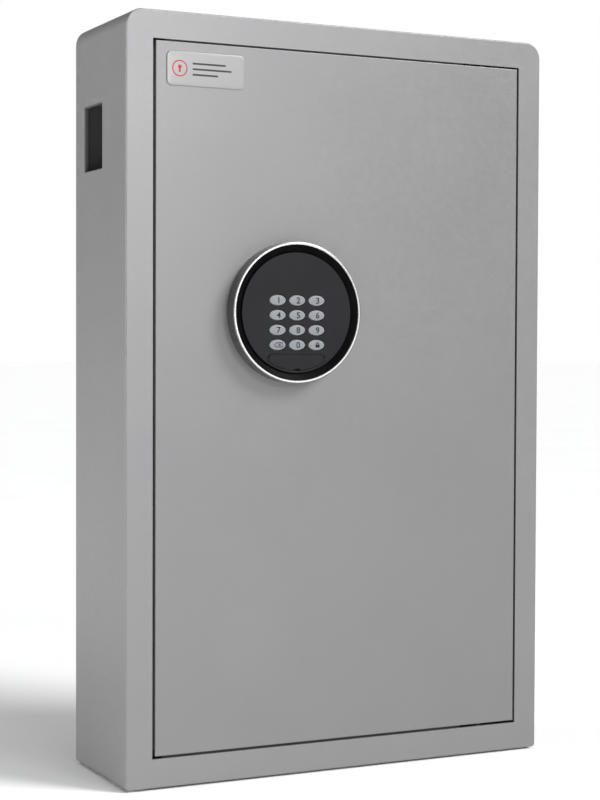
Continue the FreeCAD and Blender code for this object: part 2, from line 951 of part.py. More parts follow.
def override_lock_body():
    span = (front - S.override_front, override_back)
    outside = rod("override_outside", "y", S.override_radius, span, x=override_x, z=override_z)
    beyond = (span[0] - S.override_front, span[1] + S.override_front)
    bore_radius = S.plug_radius + S.plug_running_gap
    bore = rod("override_bore", "y", bore_radius, beyond, x=override_x, z=override_z)
    return cut("override_lock_body", outside, [bore])


def override_plug():
    """The plug with its keyway, and the cam on its inner end, hanging down when at rest."""
    face = front - S.override_front
    cam_back = override_back + S.cam_thick
    plug = rod("plug_round", "y", S.plug_radius, (face, cam_back), x=override_x, z=override_z)
    cam = block(
        "plug_cam",
        (override_x - S.plug_radius, override_x + S.plug_radius),
        (override_back + S.plug_running_gap, cam_back),
        (override_z - S.cam_reach, override_z),
    )
    keyway = block(
        "plug_keyway",
        (override_x - S.keyway_wide / 2, override_x + S.keyway_wide / 2),
        (face - S.keyway_deep, face + S.keyway_deep),
        (override_z - S.keyway_tall / 2, override_z + S.keyway_tall / 2),
    )
    return cut("override_plug", fused("plug_solid", [plug, cam]), [keyway])


def power_contacts():
    """Two studs for an outside battery."""
    pins = []
    for index in range(2):
        pins.append(rod(
            "power_contact_%d" % (index + 1), "y", S.contact_radius,
            (front - S.override_front, front - S.housing_floor),
            x=S.keypad_x + S.contact_first_x + S.contact_pitch * index, z=override_z,
        ))
    return grouped("power_contacts", pins)


# ---- the bolt work ----

def bolt(label, height):
    span = (-S.bolt_tip, bolt_root)
    return rod(label, "x", S.bolt_radius, span, y=bolt_y, z=height)


def bolt_guide(label, height):
    reach = S.guide_half_tall
    solid = block(
        label + "_block",
        (-S.guide_left, -S.guide_right),
        (mechanism_back, bolt_y + S.bolt_radius + S.guide_behind),
        (height - reach, height + reach),
    )
    bore = rod(
        label + "_bore", "x", S.bolt_radius + S.bolt_running_gap,
        (-S.guide_left - reach, reach - S.guide_right), y=bolt_y, z=height,
    )
    return cut(label, solid, [bore])


def rack_teeth():
    """The straight-sided teeth of the rack; a space lies right under the pinion's centre."""
    module = S.gear_module.value
    step = math.pi * module
    pitch_line = S.pinion_z.value - module * S.pinion_teeth.value / 2
    lean = math.tan(PRESSURE_ANGLE)
    half = (step / 2 - S.tooth_slack.value) / 2
    high = pitch_line + module
    low = pitch_line - module * 1.25
    centre = S.pinion_x.value + step / 2
    first = -math.floor((centre + S.rack_first_tooth.value) / step)
    teeth = []
    for index in range(first, first + int(S.rack_teeth.value)):
        x = centre + index * step
        top_half = half - module * lean
        low_half = half + module * 1.25 * lean
        corners = [(x - low_half, low), (x - top_half, high), (x + top_half, high), (x + low_half, low)]
        points = [Vector(a, gear_span[0].value, b) for a, b in corners]
        face = Part.Face(Part.makePolygon(points + points[:1]))
        teeth.append(face.extrude(Vector(0, S.gear_wide.value, 0)))
    made = doc.addObject("Part::Feature", "rack_teeth")
    made.Shape = Part.makeCompound(teeth)
    return made


def bolt_bar():
    """The upright that joins the three bolts, with the toothed arm that the pinion drives."""
    upright = block(
        "bolt_bar_upright",
        (bolt_root, bolt_root + S.bar_thick_x),
        (bolt_y - S.bar_wide_y / 2, bolt_y + S.bar_wide_y / 2),
        (bolt_heights[-1] - S.bar_beyond_bolt, bolt_heights[0] + S.bar_beyond_bolt),
    )
    root_line = S.pinion_z - S.gear_module * S.pinion_teeth / 2 - S.gear_module * 1.25
    arm = block(
        "bolt_bar_arm",
        (bolt_root + S.bar_thick_x, bolt_root + S.bar_thick_x + S.rack_length),
        gear_span,
        (root_line - S.rack_body_tall, root_line),
    )
    return fused("bolt_bar", [upright, arm, rack_teeth()])


def drive_pinion():
    """An involute pinion with its shaft; one tooth points straight down at rest."""
    module = S.gear_module.value
    teeth = int(S.pinion_teeth.value)
    pitch_radius = module * teeth / 2
    base_radius = pitch_radius * math.cos(PRESSURE_ANGLE)
    root_radius = pitch_radius - 1.25 * module
    tip_radius = pitch_radius + module
    half_tooth = (math.pi * module / 2 - S.tooth_slack.value) / 2 / pitch_radius

    def involute(angle):
        return math.tan(angle) - angle

    def half_angle(radius):
        spread = math.acos(min(1, base_radius / radius))
        return half_tooth + involute(PRESSURE_ANGLE) - involute(spread)

    steps = 4
    flank_radii = [base_radius + (tip_radius - base_radius) * i / steps for i in range(steps + 1)]
    flank = [(root_radius, half_angle(base_radius))] + [(r, half_angle(r)) for r in flank_radii]
    points = []
    for tooth in range(teeth):
        centre = -math.pi / 2 + 2 * math.pi * tooth / teeth
        for radius, angle in flank:
            points.append((radius, centre - angle))
        for radius, angle in reversed(flank):
            points.append((radius, centre + angle))
    corners = [Vector(r * math.cos(a), 0, r * math.sin(a)) for r, a in points]
    face = Part.Face(Part.makePolygon(corners + corners[:1]))
    wheel = face.extrude(Vector(0, S.gear_wide.value, 0))
    wheel.translate(Vector(S.pinion_x.value, gear_span[0].value, S.pinion_z.value))
    gear = doc.addObject("Part::Feature", "pinion_wheel")
    gear.Shape = wheel
    shaft = rod(
        "pinion_shaft", "y", S.shaft_radius,
        (gear_span[0], gear_span[0] + S.shaft_length), x=S.pinion_x, z=S.pinion_z,
    )
    return fused("drive_pinion", [gear, shaft])


def mechanism_plate():
    """The plate that carries the lock parts, with the pillars for the circuit board and the case."""
    made = body("mechanism_sheet", y=mechanism_back)
    drawing = sketch(made, "XZ_Plane")
    rectangle(drawing, (-S.mechanism_left, S.mechanism_right), (-S.mechanism_low, S.mechanism_high))
    circle(drawing, (S.keypad_x, S.keypad_z), S.wire_hole_radius)
    circle(drawing, (override_x, override_z), S.override_hole_radius)
    pad(made, drawing, S.mechanism_thick)
    pieces = [made]
    board_low = S.control_low + S.pillar_inset
    board_high = S.control_low + S.control_tall - S.pillar_inset
    case_low = S.cover_pillar_inset_z - S.mechanism_low
    case_high = S.mechanism_high - S.cover_pillar_inset_z
    board_sides = (S.pillar_inset - S.control_left, -S.control_right - S.pillar_inset)
    case_sides = (S.cover_pillar_inset_x - S.mechanism_left, S.mechanism_right - S.pillar_inset)
    board_back = mechanism_back + S.pillar_height
    case_inside = case_back - S.case_sheet
    groups = (
        ("board_pillar", board_sides, (board_low, board_high), board_back),
        ("case_pillar", case_sides, (case_low, case_high), case_inside),
    )
    for name, sides, heights, end in groups:
        for column, across in enumerate(sides):
            for row, up in enumerate(heights):
                label = "%s_%d%d" % (name, column, row)
                span = (mechanism_back - S.mechanism_thick / 2, end)
                pieces.append(rod(label, "y", S.pillar_radius, span, x=across, z=up))
    return fused("mechanism_plate", pieces)


def motor_gearbox():
    """The gear case on its pedestal, with the motor above and a bearing for the pinion's shaft."""
    sides = (S.pinion_x - S.gearbox_half_wide, S.pinion_x + S.gearbox_half_wide)
    case = block(
        "gearbox_case", sides,
        (gearbox_front, gearbox_front + S.gearbox_thick),
        (S.pinion_z - S.gearbox_below, S.pinion_z + S.gearbox_above),
    )
    pedestal = block(
        "gearbox_pedestal", sides,
        (mechanism_back, gearbox_front),
        (S.pinion_z + S.pedestal_from, S.pinion_z + S.gearbox_above),
    )
    motor_z = S.pinion_z + S.gearbox_above
    motor = rod(
        "gearbox_motor", "z", S.motor_radius, (motor_z, motor_z + S.motor_length),
        x=S.pinion_x, y=gearbox_front + S.gearbox_thick / 2,
    )
    bore = rod(
        "gearbox_bore", "y", S.shaft_radius + S.bolt_running_gap,
        (gearbox_front - S.gearbox_gap, gearbox_front + S.gearbox_thick * 2),
        x=S.pinion_x, z=S.pinion_z,
    )
    return cut("motor_gearbox", fused("gearbox_solid", [case, pedestal, motor]), [bore])


def control_board():
    face = mechanism_back + S.pillar_height
    return block(
        "control_board",
        (-S.control_left, -S.control_right),
        (face, face + S.board_thick),
        (S.control_low, S.control_low + S.control_tall),
    )


def battery_limits(inset):
    left = inset - S.battery_box_left
    right = S.battery_box_wide - S.battery_box_left - inset
    low = inset - S.battery_box_low
    high = S.battery_box_tall - S.battery_box_low - inset
    return (left, right), (low, high)


def lock_case():
    """The sheet case over the lock parts: open towards the door, a window for the battery box."""
    left = -S.mechanism_left - S.case_margin
    right = S.mechanism_right + S.case_margin
    low = -S.mechanism_low - S.case_margin
    high = S.mechanism_high + S.case_margin
    wall = S.case_sheet
    outside = block("case_outside", (left, right), (door_back, case_back), (low, high))
    inside = block(
        "case_inside",
        (left + wall, right - wall),
        (door_back - wall, case_back - wall),
        (low + wall, high - wall),
    )
    window_x, window_z = battery_limits(-S.battery_window_gap)
    window = block("case_window", window_x, (case_back - wall * 2, case_back + wall), window_z)
    tools = [inside, window]
    for index, height in enumerate(bolt_heights):
        tools.append(rod(
            "case_bolt_hole_%d" % (index + 1), "x", S.case_bolt_hole,
            (left - wall, left + wall * 2), y=bolt_y, z=height,
        ))
    return cut("lock_case", outside, tools)


def battery_box():
    """An open box with a raised floor; the cells lie on the floor."""
    floor = -S.battery_floor_line
    wall = S.battery_box_wall
    across, up = battery_limits(ZERO)
    inner_across, inner_up = battery_limits(wall)
    outside = block("battery_box_outside", across, (mechanism_back, case_back), up)
    pocket_space = block("battery_box_pocket", inner_across, (floor, case_back + wall), inner_up)
    under = block("battery_box_under", inner_across, (mechanism_back - wall, floor - wall), inner_up)
    return cut("battery_box", outside, [pocket_space, under])


def batteries():
    """Four round cells side by side."""
    across, up = battery_limits(ZERO)
    centre = (across[0] + across[1]) / 2
    low = (up[0] + up[1]) / 2 - S.cell_length / 2
    cells = []
    for index in range(int(S.cell_count.value)):
        x = centre + S.cell_pitch * index - S.cell_pitch * (S.cell_count - 1) / 2
        y = S.cell_radius + S.cell_seat_gap - S.battery_floor_line
        cells.append(rod("cell_%d" % (index + 1), "z", S.cell_radius, (low, low + S.cell_length), x=x, y=y))
    return grouped("batteries", cells)


def battery_lid():
    across, up = battery_limits(S.battery_box_wall + S.lid_gap)
    return block("battery_lid", across, (case_back - S.lid_thick, case_back), up)


# ---- the whole safe ----

def build_cabinet():
    pieces = [cabinet_shell(), front_frame(), back_panel(), lock_side_keeper()]
    pieces.append(door_stop("door_stop_top", S.opening_top, 1))
    pieces.append(door_stop("door_stop_bottom", -S.opening_bottom, -1))
    pieces.append(hinge_bracket("hinge_bracket_top", S.opening_top, 1))
    pieces.append(hinge_bracket("hinge_bracket_bottom", -S.opening_bottom, -1))
    pieces.append(hinge_pin("hinge_pin_top", S.opening_top, door_top, 1))
    pieces.append(hinge_pin("hinge_pin_bottom", -S.opening_bottom, door_bottom, -1))
    pieces.append(deposit_chute())
    pieces.append(rack_upright("rack_upright_left", -S.rack_left))
    pieces.append(rack_upright("rack_upright_right", S.rack_right - S.upright_wide))
    for row in range(int(S.bar_rows.value)):
        height = S.bar_pitch * (S.bar_rows - 1) / 2 - S.bar_pitch * row
        pieces.append(hook_bar("hook_bar_%d" % (row + 1), height))
    return pieces


def build_door():
    pieces = [door_panel(), name_plate(), mechanism_plate(), motor_gearbox(), control_board(), lock_case()]
    pieces.append(hinge_lug("hinge_lug_top", door_top, 1))
    pieces.append(hinge_lug("hinge_lug_bottom", door_bottom, -1))
    pieces += [battery_box(), batteries(), battery_lid()]
    for name, height in zip(("top", "middle", "bottom"), bolt_heights):
        pieces.append(bolt("bolt_" + name, height))
        pieces.append(bolt_guide("bolt_guide_" + name, height))
    pieces += [bolt_bar(), drive_pinion()]
    return pieces


def build_keypad():
    pieces = [keypad_housing(), keypad_bezel(), keypad_dish(), keypad_fascia(), keypad_cover()]
    pieces += [key_mat(), keypad_circuit_board(), override_lock_body(), override_plug(), power_contacts()]
    for row, names in enumerate(KEY_NAMES):
        for column, name in enumerate(names):
            pieces.append(keypad_key(name, row, column))
    return pieces


pieces = build_cabinet() + build_door() + build_keypad()
doc.recompute()

for item in doc.Objects:
    if "Invalid" in item.State or "Error" in item.State:
        raise RuntimeError("%s failed: %s" % (item.Name, item.State))
for piece in pieces:
    if piece.Shape.isNull() or not piece.Shape.isValid():
        raise RuntimeError("%s has no valid shape" % piece.Label)

os.makedirs("parts", exist_ok=True)
for piece in pieces:
    piece.Shape.exportStep(os.path.join("parts", piece.Label + ".step"))
print("%d pieces written" % len(pieces))
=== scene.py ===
import json
import math

import bmesh
import bpy
from mathutils import Matrix, Vector


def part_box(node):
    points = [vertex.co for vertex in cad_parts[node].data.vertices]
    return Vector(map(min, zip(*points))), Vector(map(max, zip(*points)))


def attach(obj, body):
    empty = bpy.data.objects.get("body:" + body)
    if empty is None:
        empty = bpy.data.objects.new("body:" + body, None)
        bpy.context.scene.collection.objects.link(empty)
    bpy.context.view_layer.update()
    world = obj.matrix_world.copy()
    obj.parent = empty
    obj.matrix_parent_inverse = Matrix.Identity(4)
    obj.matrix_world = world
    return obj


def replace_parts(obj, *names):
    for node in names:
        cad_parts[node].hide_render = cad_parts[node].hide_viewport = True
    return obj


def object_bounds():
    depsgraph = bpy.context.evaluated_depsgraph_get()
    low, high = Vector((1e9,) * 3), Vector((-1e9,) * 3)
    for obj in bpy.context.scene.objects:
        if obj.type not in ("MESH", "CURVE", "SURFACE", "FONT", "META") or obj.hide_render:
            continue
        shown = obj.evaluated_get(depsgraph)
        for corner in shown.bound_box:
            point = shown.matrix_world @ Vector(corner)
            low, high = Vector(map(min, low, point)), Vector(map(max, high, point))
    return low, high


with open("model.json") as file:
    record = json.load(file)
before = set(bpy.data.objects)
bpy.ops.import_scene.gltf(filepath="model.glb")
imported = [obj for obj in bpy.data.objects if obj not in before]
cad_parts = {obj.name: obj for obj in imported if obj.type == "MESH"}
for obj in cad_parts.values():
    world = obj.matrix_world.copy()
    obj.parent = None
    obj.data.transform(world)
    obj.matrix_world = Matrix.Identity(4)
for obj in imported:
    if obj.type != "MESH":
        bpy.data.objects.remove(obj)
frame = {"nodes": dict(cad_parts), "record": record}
cad_box = [list(corner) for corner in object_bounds()]

MM = 0.001
NODES = frame["nodes"]
SLOT_OF = {part["node"]: part["material_slot"] for part in frame["record"]["subparts"]}
DIGIT_KEYS = {"key_%d" % digit: str(digit) for digit in range(10)}


# ---- the camera, the lights and the floor ----

def make_camera():
    """A long lens from the front left, almost level."""
    yaw, pitch, roll = math.radians(-26.226), math.radians(-1.691), math.radians(0.208)
    ahead = Vector((-math.sin(yaw) * math.cos(pitch), math.cos(yaw) * math.cos(pitch), math.sin(pitch)))
    right = Vector((math.cos(yaw), math.sin(yaw), 0))
    up = right.cross(ahead)
    across = right * math.cos(roll) + up * math.sin(roll)
    above = up * math.cos(roll) - right * math.sin(roll)
    lens = bpy.data.cameras.new("view_camera")
    lens.sensor_width = 36
    lens.lens = 82.31
    lens.clip_start = 0.01
    camera = bpy.data.objects.new("view_camera", lens)
    turn = Matrix((across, above, -ahead)).transposed().to_4x4()
    camera.matrix_world = Matrix.Translation((-0.8333, -1.7355, 0.0522)) @ turn
    bpy.context.scene.collection.objects.link(camera)
    bpy.context.scene.camera = camera


def aim(thing, place, target):
    thing.location = place
    thing.rotation_euler = (Vector(target) - Vector(place)).to_track_quat("-Z", "Y").to_euler()
    bpy.context.scene.collection.objects.link(thing)


def soft_box(name, place, target, width, height, watts):
    data = bpy.data.lights.new(name, "AREA")
    data.shape = "RECTANGLE"
    data.size = width
    data.size_y = height
    data.energy = watts
    aim(bpy.data.objects.new(name, data), place, target)


def broad_light(name, place, strength, spread):
    data = bpy.data.lights.new(name, "SUN")
    data.energy = strength
    data.angle = math.radians(spread)
    aim(bpy.data.objects.new(name, data), place, (0, 0, 0))


def make_studio():
    world = bpy.data.worlds.new("studio")
    bpy.context.scene.world = world
    world.use_nodes = True
    tree = world.node_tree
    tree.nodes.clear()
    output = tree.nodes.new("ShaderNodeOutputWorld")
    mix = tree.nodes.new("ShaderNodeMixShader")
    seen = tree.nodes.new("ShaderNodeBackground")
    filling = tree.nodes.new("ShaderNodeBackground")
    path = tree.nodes.new("ShaderNodeLightPath")
    seen.inputs["Color"].default_value = (1, 1, 1, 1)
    filling.inputs["Color"].default_value = (0.97, 0.985, 1, 1)
    filling.inputs["Strength"].default_value = 0.15
    tree.links.new(path.outputs["Is Camera Ray"], mix.inputs[0])
    tree.links.new(filling.outputs[0], mix.inputs[1])
    tree.links.new(seen.outputs[0], mix.inputs[2])
    tree.links.new(mix.outputs[0], output.inputs["Surface"])
    bpy.context.scene.view_settings.view_transform = "Standard"
    soft_box("front_box", (0.32, -2.3, 0.8), (-0.1, -0.14, 0.1), 0.6, 0.7, 14)
    soft_box("tall_box", (-0.3, -2.3, -0.15), (-0.1, -0.14, 0), 0.3, 1.3, 15)
    broad_light("side_light", (-3, 1.4, 0.6), 2.3, 20)
    broad_light("key_light", (3, -3, 3.2), 3.2, 25)
    broad_light("top_light", (0.1, -0.2, 3), 0.65, 40)


def make_floor():
    mesh = bpy.data.meshes.new("floor")
    reach = 40
    low = cad_box[0][2] - 2 * MM
    corners = [(-reach, -reach, low), (reach, -reach, low), (reach, reach, low), (-reach, reach, low)]
    mesh.from_pydata(corners, [], [(0, 1, 2, 3)])
    floor = bpy.data.objects.new("floor", mesh)
    bpy.context.scene.collection.objects.link(floor)
    paint = Surface("floor_paint", (0.93, 0.93, 0.93), roughness=0.9)
    paint.tint(paint.noise(3, 3), (0.92, 0.92, 0.92), (0.94, 0.94, 0.94))
    mesh.materials.append(paint.material)


# ---- materials ----

class Surface:
    """A procedural material: a Principled shader with noise-driven colour, roughness and relief."""

    def __init__(self, name, colour, metallic=0.0, roughness=0.5, **sockets):
        self.material = bpy.data.materials.new(name)
        self.material.use_nodes = True
        self.tree = self.material.node_tree
        self.shader = self.tree.nodes["Principled BSDF"]
        self.shader.inputs["Base Color"].default_value = (*colour, 1)
        self.shader.inputs["Metallic"].default_value = metallic
        self.shader.inputs["Roughness"].default_value = roughness
        for socket, value in sockets.items():
            self.shader.inputs[socket.replace("_", " ")].default_value = value
        self.place = self.tree.nodes.new("ShaderNodeTexCoord").outputs["Object"]
        self.relief_out = None

    def stretched(self, stretch):
        mapping = self.tree.nodes.new("ShaderNodeMapping")
        mapping.inputs["Scale"].default_value = stretch
        self.tree.links.new(self.place, mapping.inputs["Vector"])
        return mapping.outputs[0]

    def noise(self, scale, detail=2.0, roughness=0.5, stretch=(1, 1, 1)):
        """Features about 1 / scale metres across."""
        made = self.tree.nodes.new("ShaderNodeTexNoise")
        made.inputs["Scale"].default_value = scale
        made.inputs["Detail"].default_value = detail
        made.inputs["Roughness"].default_value = roughness
        self.tree.links.new(self.stretched(stretch), made.inputs["Vector"])
        return made.outputs["Fac"]

    def cells(self, scale, stretch=(1, 1, 1)):
        made = self.tree.nodes.new("ShaderNodeTexVoronoi")
        made.inputs["Scale"].default_value = scale
        self.tree.links.new(self.stretched(stretch), made.inputs["Vector"])
        return made.outputs["Distance"]

    def mapped(self, value, low, high, start=0.3, end=0.7):
        made = self.tree.nodes.new("ShaderNodeMapRange")
        made.inputs["From Min"].default_value = start
        made.inputs["From Max"].default_value = end
        made.inputs["To Min"].default_value = low
        made.inputs["To Max"].default_value = high
        self.tree.links.new(value, made.inputs["Value"])
        return made.outputs["Result"]

    def blended(self, factor, first, second, start=0.3, end=0.7):
        """A colour between two: each is a colour or another blend's output."""
        made = self.tree.nodes.new("ShaderNodeMix")
        made.data_type = "RGBA"
        self.tree.links.new(self.mapped(factor, 0, 1, start, end), made.inputs["Factor"])
        for socket, value in (("A", first), ("B", second)):
            target = next(i for i in made.inputs if i.name == socket and i.type == "RGBA")
            if isinstance(value, tuple):
                target.default_value = (*value, 1)
            else:
                self.tree.links.new(value, target)
        return next(o for o in made.outputs if o.type == "RGBA")

    def tint(self, factor, first, second, start=0.3, end=0.7):
        result = self.blended(factor, first, second, start, end)
        self.tree.links.new(result, self.shader.inputs["Base Color"])
        return result

    def roughen(self, factor, low, high):
        self.tree.links.new(self.mapped(factor, low, high), self.shader.inputs["Roughness"])

    def relief(self, height, depth):
        """Adds a bump of this depth, in metres, on top of any earlier one."""
        made = self.tree.nodes.new("ShaderNodeBump")
        made.inputs["Strength"].default_value = 1
        made.inputs["Distance"].default_value = depth
        self.tree.links.new(height, made.inputs["Height"])
        if self.relief_out is not None:
            self.tree.links.new(self.relief_out, made.inputs["Normal"])
        self.relief_out = made.outputs["Normal"]
        self.tree.links.new(self.relief_out, self.shader.inputs["Normal"])


def powder_coat(name, value):
    """Silver-grey powder coat of this brightness: soft orange peel with fine bright and dark grains."""
    made = Surface(name, (value, value, value * 1.015), metallic=0.48, roughness=0.43)
    grain = made.noise(1500, 2)
    broad = made.noise(9, 3)
    dull, bright, dark = (
        tuple(value * share for share in shares)
        for shares in ((0.98, 0.98, 1), (1.03, 1.03, 1.04), (0.91, 0.91, 0.93))
    )
    cloudy = made.blended(broad, dull, bright)
    made.tint(grain, dark, cloudy, 0.25, 0.5)
    made.roughen(made.noise(240, 3), 0.4, 0.46)
    made.relief(made.noise(420, 3, 0.55), 0.00007)
    made.relief(made.noise(1700, 2), 0.00002)
    return made


def chrome():
    made = Surface("bright_chrome", (0.74, 0.74, 0.75), metallic=0.5, roughness=0.3)
    made.tint(made.noise(60, 3), (0.72, 0.722, 0.73), (0.77, 0.77, 0.77))
    made.roughen(made.noise(900, 4, stretch=(1, 6, 1)), 0.2, 0.32)
    made.relief(made.noise(600, 2), 0.000004)
    return made


def satin_metal():
    """Turned metal: fine lines run round the housing, so the pattern is quick only in depth. Its colour is
    painted darker than the metal's own, as shade on the housing's sides.
    """
    made = Surface("satin_turned_metal_painted_shade", (0.16, 0.16, 0.162), metallic=0.8, roughness=0.34)
    lines = made.noise(30, 4, 0.7, stretch=(1, 90, 1))
    made.tint(lines, (0.14, 0.14, 0.143), (0.185, 0.185, 0.187))
    made.roughen(made.noise(40, 3, stretch=(1, 60, 1)), 0.26, 0.4)
    made.relief(lines, 0.000015)
    return made


def gloss_black():
    made = Surface("black_gloss_plastic", (0.002, 0.002, 0.002), roughness=0.4, Specular_IOR_Level=0.025)
    made.tint(made.noise(80, 3), (0.0015, 0.0015, 0.0018), (0.003, 0.003, 0.0034))
    made.roughen(made.noise(500, 4), 0.36, 0.46)
    made.relief(made.noise(900, 2), 0.000008)
    return made


def matte_fascia():
    made = Surface("fascia_matte_plastic", (0.008, 0.008, 0.009), roughness=0.55, Specular_IOR_Level=0.17)
    made.tint(made.noise(35, 4), (0.0068, 0.007, 0.0085), (0.009, 0.0092, 0.0108))
    made.roughen(made.noise(700, 3), 0.5, 0.62)
    made.relief(made.cells(2600), 0.00002)
    return made


def key_plastic():
    made = Surface("key_cap_plastic", (0.18, 0.193, 0.206), roughness=0.42)
    made.tint(made.noise(160, 3), (0.172, 0.186, 0.2), (0.188, 0.201, 0.214))
    made.roughen(made.noise(900, 3), 0.38, 0.5)
    made.relief(made.noise(2200, 2), 0.00001)
    return made


def ink(name, colour):
    made = Surface(name, colour, roughness=0.55, Specular_IOR_Level=0.15)
    lighter = tuple(min(1, channel * 1.25 + 0.004) for channel in colour)
    made.tint(made.noise(1200, 3), colour, lighter)
    made.roughen(made.noise(900, 2), 0.5, 0.65)
    return made


def zinc():
    """Zinc-plated sheet: pale, slightly yellow and blue clouds over a fine rolled grain."""
    made = Surface("zinc_plated_steel", (0.19, 0.193, 0.2), metallic=0.85, roughness=0.5)
    clouds = made.blended(made.noise(28, 4), (0.18, 0.185, 0.2), (0.21, 0.207, 0.193))
    made.tint(made.cells(220), clouds, (0.2, 0.203, 0.21), 0.1, 0.9)
    made.roughen(made.noise(120, 4, stretch=(1, 1, 8)), 0.44, 0.56)
    made.relief(made.noise(500, 4, stretch=(6, 6, 1)), 0.00001)
    return made


def ground_steel():
    made = Surface("ground_steel", (0.32, 0.32, 0.328), metallic=1, roughness=0.3)
    made.tint(made.noise(90, 3), (0.3, 0.3, 0.308), (0.34, 0.34, 0.345))
    made.roughen(made.noise(60, 4, stretch=(50, 1, 1)), 0.25, 0.38)
    made.relief(made.noise(60, 3, stretch=(60, 1, 1)), 0.000006)
    return made


def nickel():
    made = Surface("nickel_plated_steel", (0.21, 0.205, 0.196), metallic=0.9, roughness=0.42)
    made.tint(made.noise(70, 4), (0.196, 0.192, 0.182), (0.225, 0.22, 0.21))
    made.roughen(made.noise(300, 3, stretch=(8, 1, 1)), 0.36, 0.48)
    made.relief(made.noise(700, 2), 0.000005)
    return made


def brass():
    made = Surface("machined_brass", (0.46, 0.32, 0.14), metallic=1, roughness=0.3)
    made.tint(made.noise(150, 4), (0.42, 0.285, 0.12), (0.5, 0.355, 0.165))
    made.roughen(made.noise(400, 3), 0.2, 0.38)
    made.relief(made.noise(80, 3, stretch=(1, 60, 1)), 0.00001)
    return made


def rubber():
    made = Surface("black_rubber", (0.03, 0.03, 0.03), roughness=0.75)
    made.tint(made.noise(200, 4), (0.025, 0.025, 0.026), (0.045, 0.045, 0.044))
    made.roughen(made.noise(400, 3), 0.68, 0.85)
    made.relief(made.noise(1500, 3), 0.00003)
    return made


def circuit_board():
    """Green solder mask with the tracks showing through as a lighter, raised pattern."""
    made = Surface("circuit_board_mask", (0.02, 0.13, 0.06), roughness=0.35)
    tracks = made.cells(260, stretch=(1, 1, 1.6))
    made.tint(tracks, (0.03, 0.19, 0.085), (0.014, 0.1, 0.045), 0.25, 0.45)
    made.roughen(made.noise(500, 3), 0.3, 0.45)
    made.relief(tracks, 0.00004)
    return made


def label_silver():
    """A domed clear-coated plate over a pale metallic print."""
    made = Surface("blank_silver_plate", (0.27, 0.268, 0.271), metallic=0.1, roughness=0.45,
                   Coat_Weight=0.3, Coat_Roughness=0.12)
    made.tint(made.noise(12, 2), (0.25, 0.249, 0.253), (0.268, 0.265, 0.266))
    made.roughen(made.noise(1500, 3), 0.34, 0.48)
    made.relief(made.noise(3000, 2), 0.000004)
    return made


def battery_wrap():
    made = Surface("battery_sleeve", (0.05, 0.055, 0.07), roughness=0.35)
    made.tint(made.noise(45, 3, stretch=(1, 1, 0.2)), (0.045, 0.05, 0.065), (0.07, 0.075, 0.09))
    made.roughen(made.noise(300, 3), 0.28, 0.42)
    made.relief(made.noise(900, 2), 0.000006)
    return made


# Dark matte coat for the deposit chute and the door stops: partly their own dark colour, partly painted
# shade that keeps the slot and the gaps round the door dark.
def dark_paint():
    made = Surface("dark_powder_coat_and_painted_shade", (0.1, 0.1, 0.103), roughness=0.6)
    made.tint(made.noise(1400, 2), (0.09, 0.09, 0.093), (0.115, 0.115, 0.118))
    made.roughen(made.noise(240, 3), 0.55, 0.68)
    made.relief(made.noise(420, 3, 0.55), 0.00005)
    return made


FINISHES = {
    # body_paint and door_paint are one silver powder coat in two copies: the door's copy is painted a shade
    # darker, standing in for the weaker light on the door.
    "body_paint": powder_coat("body_powder_coat", 0.224),
    "door_paint": powder_coat("door_powder_coat_painted_shade", 0.206),
    "zinc_steel": zinc(),
    "bolt_steel": ground_steel(),
    "chrome_trim": chrome(),
    "satin_housing": satin_metal(),
    "black_plastic": gloss_black(),
    "fascia_plastic": matte_fascia(),
    "key_plastic": key_plastic(),
    "rubber": rubber(),
    "circuit_board": circuit_board(),
    "brass": brass(),
    "label_silver": label_silver(),
    "hook_steel": nickel(),
    "battery_wrap": battery_wrap(),
    "dark_paint": dark_paint(),
}
DARK_INK = ink("legend_ink", (0.006, 0.007, 0.009))
GREY_INK = ink("plate_grey_ink", (0.035, 0.036, 0.038))
RED_INK = ink("plate_red_ink", (0.36, 0.03, 0.03))


# ---- mesh building ----

SMOOTH_ANGLE = 35
INK_THICK = 0.03 * MM


def piece(name, vertices, faces, body, finish):
    """A mesh in the frame's own axes that rides on a CAD body; the finish is a slot's name or an ink."""
    mesh = bpy.data.meshes.new(name)
    mesh.from_pydata([tuple(v) for v in vertices], [], faces)
    shaper = bmesh.new()
    shaper.from_mesh(mesh)
    bmesh.ops.remove_doubles(shaper, verts=shaper.verts, dist=1e-7)
    bmesh.ops.recalc_face_normals(shaper, faces=shaper.faces)
    shaper.to_mesh(mesh)
    shaper.free()
    mesh.shade_smooth()
    mesh.set_sharp_from_angle(angle=math.radians(SMOOTH_ANGLE))
    made = bpy.data.objects.new(name, mesh)
    bpy.context.scene.collection.objects.link(made)
    if isinstance(finish, str):
        mesh.materials.append(FINISHES[finish].material)
    else:
        mesh.materials.append(finish.material)
    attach(made, body)
    return made


def loft(name, loops, body, finish, closed=False):
    """Joins loops of equal length with quads; the ends are capped, or joined when closed."""
    count = len(loops[0])
    vertices = [point for loop in loops for point in loop]
    faces = []
    last = len(loops) if closed else len(loops) - 1
    for row in range(last):
        here, there = row * count, ((row + 1) % len(loops)) * count
        for index in range(count):
            beside = (index + 1) % count
            faces.append((here + index, here + beside, there + beside, there + index))
    if not closed:
        faces.append(tuple(range(count)))
        faces.append(tuple((len(loops) - 1) * count + index for index in range(count)))
    return piece(name, vertices, faces, body, finish)


def arc(centre, radius, start, end, steps):
    """Points (u, v) on an arc, angles in degrees."""
    points = []
    for step in range(steps + 1):
        angle = math.radians(start + (end - start) * step / steps)
        points.append((centre[0] + radius * math.cos(angle), centre[1] + radius * math.sin(angle)))
    return points


